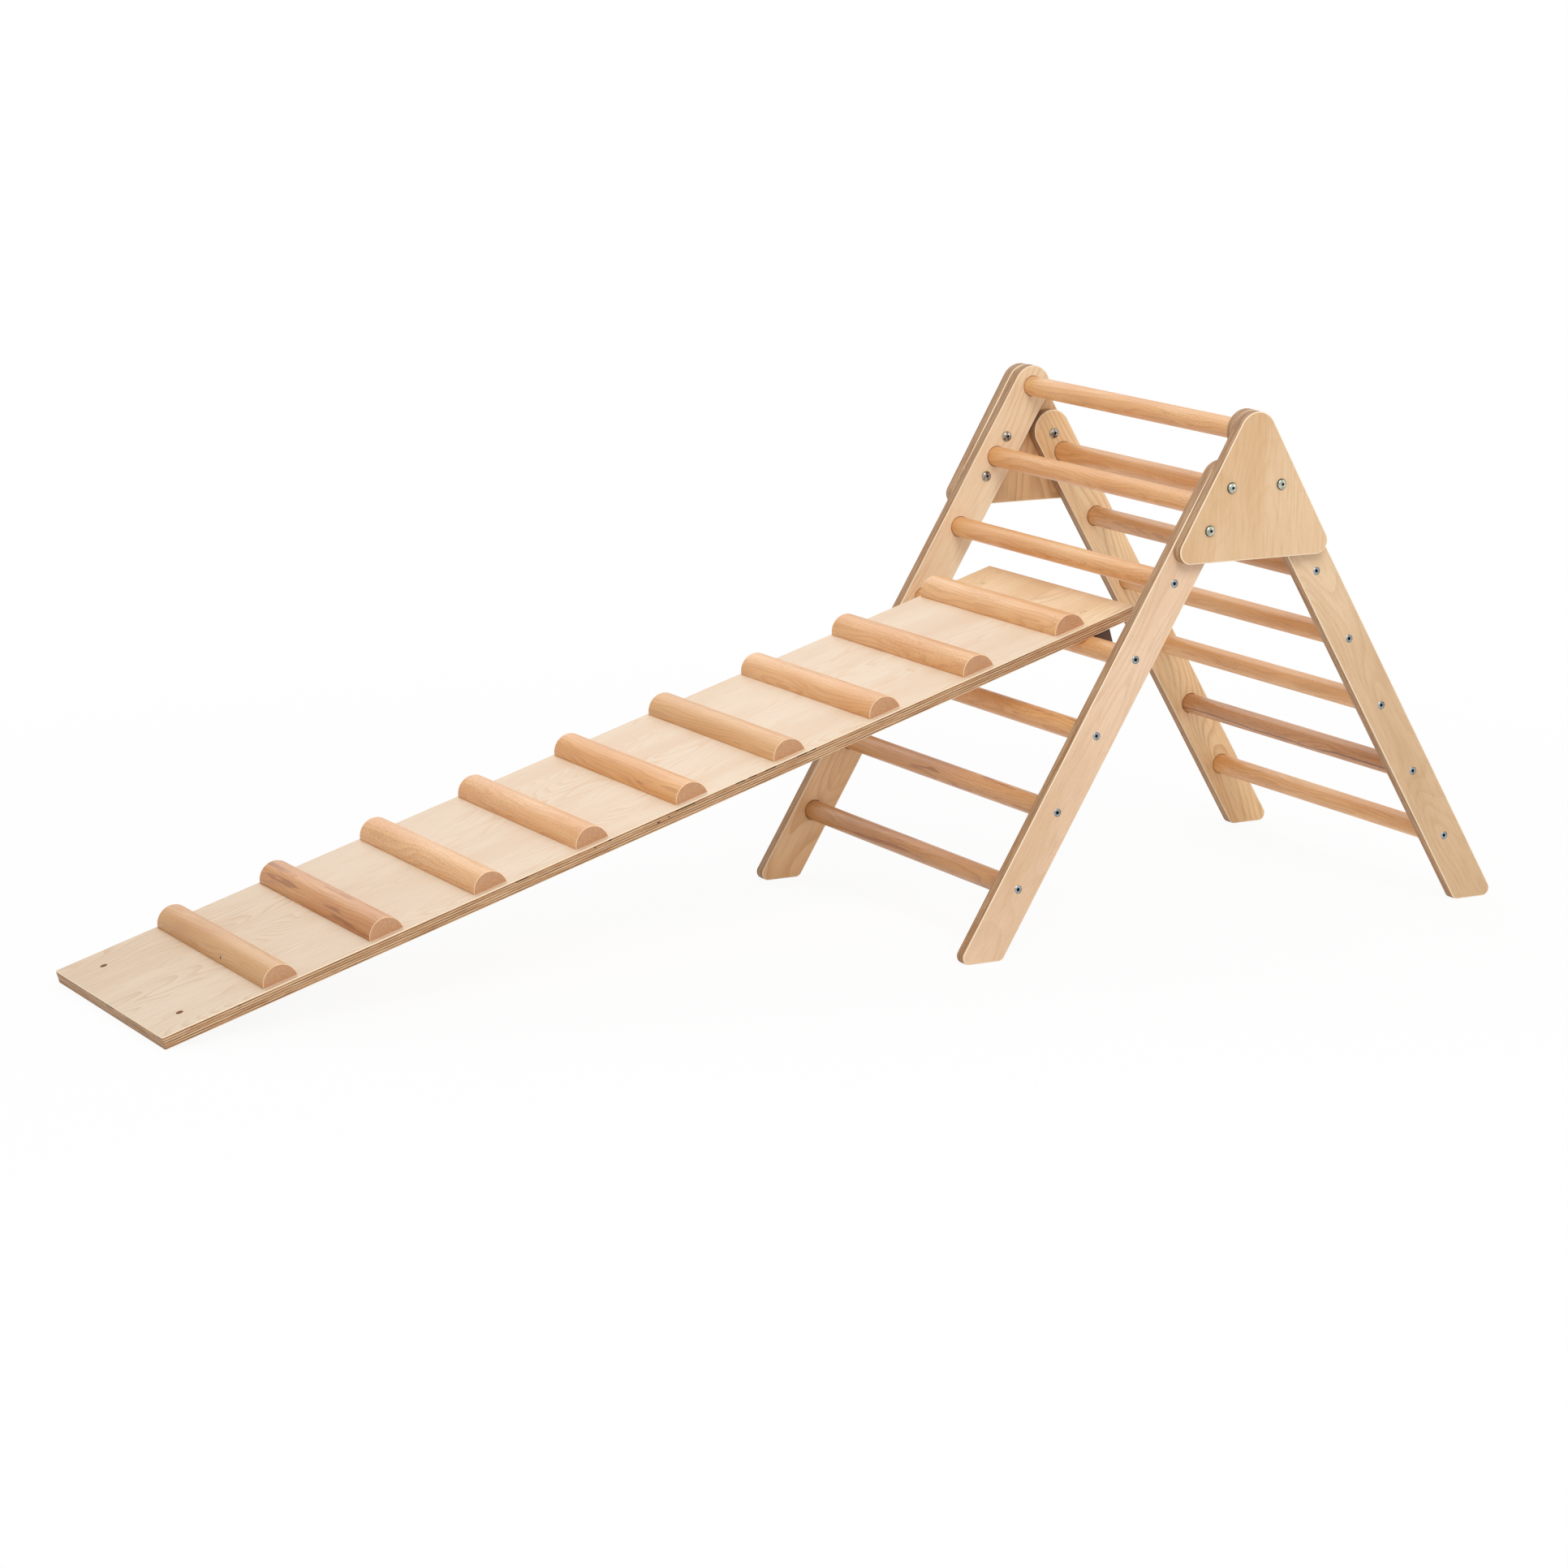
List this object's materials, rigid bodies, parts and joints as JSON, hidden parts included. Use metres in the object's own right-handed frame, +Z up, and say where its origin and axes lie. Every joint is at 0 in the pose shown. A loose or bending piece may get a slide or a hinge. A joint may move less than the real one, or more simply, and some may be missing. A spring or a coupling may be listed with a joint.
{
  "type": "climbing triangle",
  "caption": "Folding wooden climbing triangle for children: two hinged rung ladders with a cleated ramp board hooked over a rung.",
  "frame": {"origin": "on the floor, in the middle of the footprint of the triangle with its ramp", "axes": "+X from the foot of the ramp to the rear ladder, +Y along the rungs from the near side to the far side, +Z up"},
  "size_m": [2.053, 0.6308, 0.7473],
  "materials": {
    "birch_plywood": "clear matt lacquer",
    "beech": "clear matt lacquer",
    "dark_hardwood": "oiled",
    "zinc_plated_steel": "zinc plated",
    "nickel_plated_steel": "bright nickel plated"
  },
  "bodies": {
    "front_frame": {"front_leg_far": "birch_plywood", "front_leg_near": "birch_plywood", "side_plate_far": "birch_plywood", "side_plate_near": "birch_plywood", "apex_block": "birch_plywood", "top_rung": "beech", "front_rung_1": "beech", "front_rung_2": "beech", "front_rung_3": "beech", "front_rung_4": "beech", "front_rung_5": "beech", "front_rung_6": "beech", "front_rung_screws": "zinc_plated_steel", "top_rung_screws": "zinc_plated_steel", "apex_block_screws": "zinc_plated_steel", "plate_bolts": "nickel_plated_steel", "plate_sleeve_nuts": "nickel_plated_steel", "pivot_bolts": "nickel_plated_steel", "pivot_sleeve_nuts": "nickel_plated_steel"},
    "rear_ladder": {"rear_leg_far": "birch_plywood", "rear_leg_near": "birch_plywood", "rear_rung_1": "beech", "rear_rung_2": "beech", "rear_rung_3": "beech", "rear_rung_4": "beech", "rear_rung_5": "beech", "rear_rung_6": "beech", "rear_rung_screws": "zinc_plated_steel"},
    "ramp": {"ramp_board": "birch_plywood", "ramp_cleat_1": "beech", "ramp_cleat_2": "beech", "ramp_cleat_3": "beech", "ramp_cleat_4": "beech", "ramp_cleat_5": "beech", "ramp_cleat_6": "beech", "ramp_cleat_7": "beech", "ramp_cleat_8": "beech", "ramp_cleat_9": "beech", "ramp_cleat_screws": "zinc_plated_steel", "ramp_hook": "dark_hardwood", "ramp_hook_screws": "zinc_plated_steel"}
  },
  "joints": [
    {"name": "rear_ladder_fold", "type": "hinge", "parent": "front_frame", "child": "rear_ladder", "pos_m": [0.61137, 0, 0.6422], "axis": [0, 1, 0], "range_deg": [0, 62.2]},
    {"name": "ramp_lift_off", "type": "slide", "parent": "front_frame", "child": "ramp", "axis": [-0.419, 0, 0.908], "range_m": [0, 0.4]}
  ]
}
